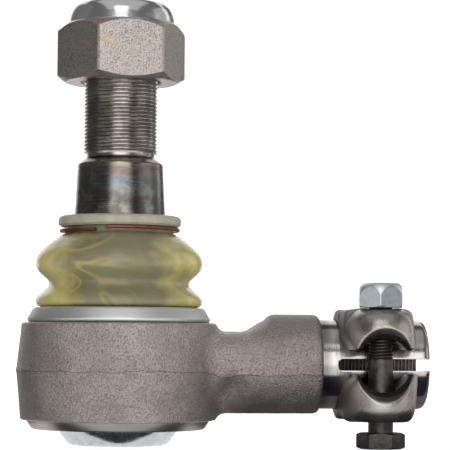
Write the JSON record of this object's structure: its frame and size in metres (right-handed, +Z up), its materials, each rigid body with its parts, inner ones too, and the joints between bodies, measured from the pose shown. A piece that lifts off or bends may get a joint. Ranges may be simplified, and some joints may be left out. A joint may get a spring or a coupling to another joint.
{
  "type": "tie rod end",
  "caption": "Angle ball joint for a steering rod: tapered ball stud with lock nut, sealed by a folded boot, forged socket, and a slotted threaded tube closed by a bolted clamp.",
  "frame": {"origin": "centre of the flat on the bottom cover, on the stud axis", "axes": "+Z up along the ball stud towards its nut, +X along the threaded tube towards its open end, -Y the side of the clamp's ears and the tube's slot"},
  "size_m": [0.1657, 0.0826, 0.1785],
  "materials": {
    "forged_steel": "satin",
    "cup_polymer": "matte",
    "spring_steel": "satin",
    "zinc_plate": "satin",
    "seal_rubber": "matte",
    "machined_steel": "satin",
    "boot_elastomer": "satin",
    "clip_wire": "satin",
    "nut_nylon": "satin",
    "dark_forging": "satin",
    "black_bolt": "satin"
  },
  "bodies": {
    "housing_body": {"housing": "forged_steel", "upper_ball_cup": "cup_polymer", "preload_spring": "spring_steel", "bottom_cover": "zinc_plate", "cover_seal_ring": "seal_rubber", "boot_retaining_ring": "zinc_plate"},
    "swivel": {"lower_ball_cup": "cup_polymer", "boot": "boot_elastomer"},
    "boot_collar": {"boot_top_ring": "cup_polymer", "boot_wire_clip": "clip_wire"},
    "stud": {"ball_stud": "machined_steel"},
    "nut_carrier": {"stud_nut_insert": "nut_nylon"},
    "nut": {"stud_nut": "machined_steel"},
    "clamp": {"tube_clamp": "dark_forging"},
    "bolt": {"clamp_bolt": "black_bolt"},
    "bolt_nut": {"clamp_nut": "zinc_plate", "clamp_nut_insert": "nut_nylon"}
  },
  "joints": [
    {"name": "swing_direction", "type": "hinge", "parent": "housing_body", "child": "swivel", "pos_m": [0, 0, 0.033], "axis": [0, 0, 1], "continuous": true},
    {"name": "stud_tilt", "type": "hinge", "parent": "swivel", "child": "boot_collar", "pos_m": [0, 0, 0.033], "axis": [0, 1, 0], "range_deg": [-20, 20], "deforming": ["boot"]},
    {"name": "stud_spin", "type": "hinge", "parent": "boot_collar", "child": "stud", "pos_m": [0, 0, 0.033], "axis": [0, 0, 1], "continuous": true},
    {"name": "stud_nut_travel", "type": "slide", "parent": "stud", "child": "nut_carrier", "axis": [0, 0, 1], "range_m": [-0.02822, 0.00002]},
    {"name": "stud_nut_turn", "type": "hinge", "parent": "nut_carrier", "child": "nut", "pos_m": [0, 0, 0.16], "axis": [0, 0, 1], "range_deg": [-6768, 0]},
    {"name": "clamp_turn", "type": "hinge", "parent": "housing_body", "child": "clamp", "pos_m": [0.103, 0, 0.033], "axis": [1, 0, 0], "continuous": true},
    {"name": "clamp_bolt_draw", "type": "slide", "parent": "clamp", "child": "bolt", "axis": [0, 0, 1], "range_m": [0, 0.0039]},
    {"name": "clamp_nut_turn", "type": "hinge", "parent": "clamp", "child": "bolt_nut", "pos_m": [0.103, -0.0245, 0.0606], "axis": [0, 0, 1], "range_deg": [-1123.5, 0.3]}
  ],
  "couplings": [
    {"joint": "stud_nut_travel", "follows": "stud_nut_turn", "m_per_rad": 0.00023873},
    {"joint": "clamp_nut_turn", "follows": "clamp_bolt_draw", "rad_per_m": -5026.5}
  ]
}
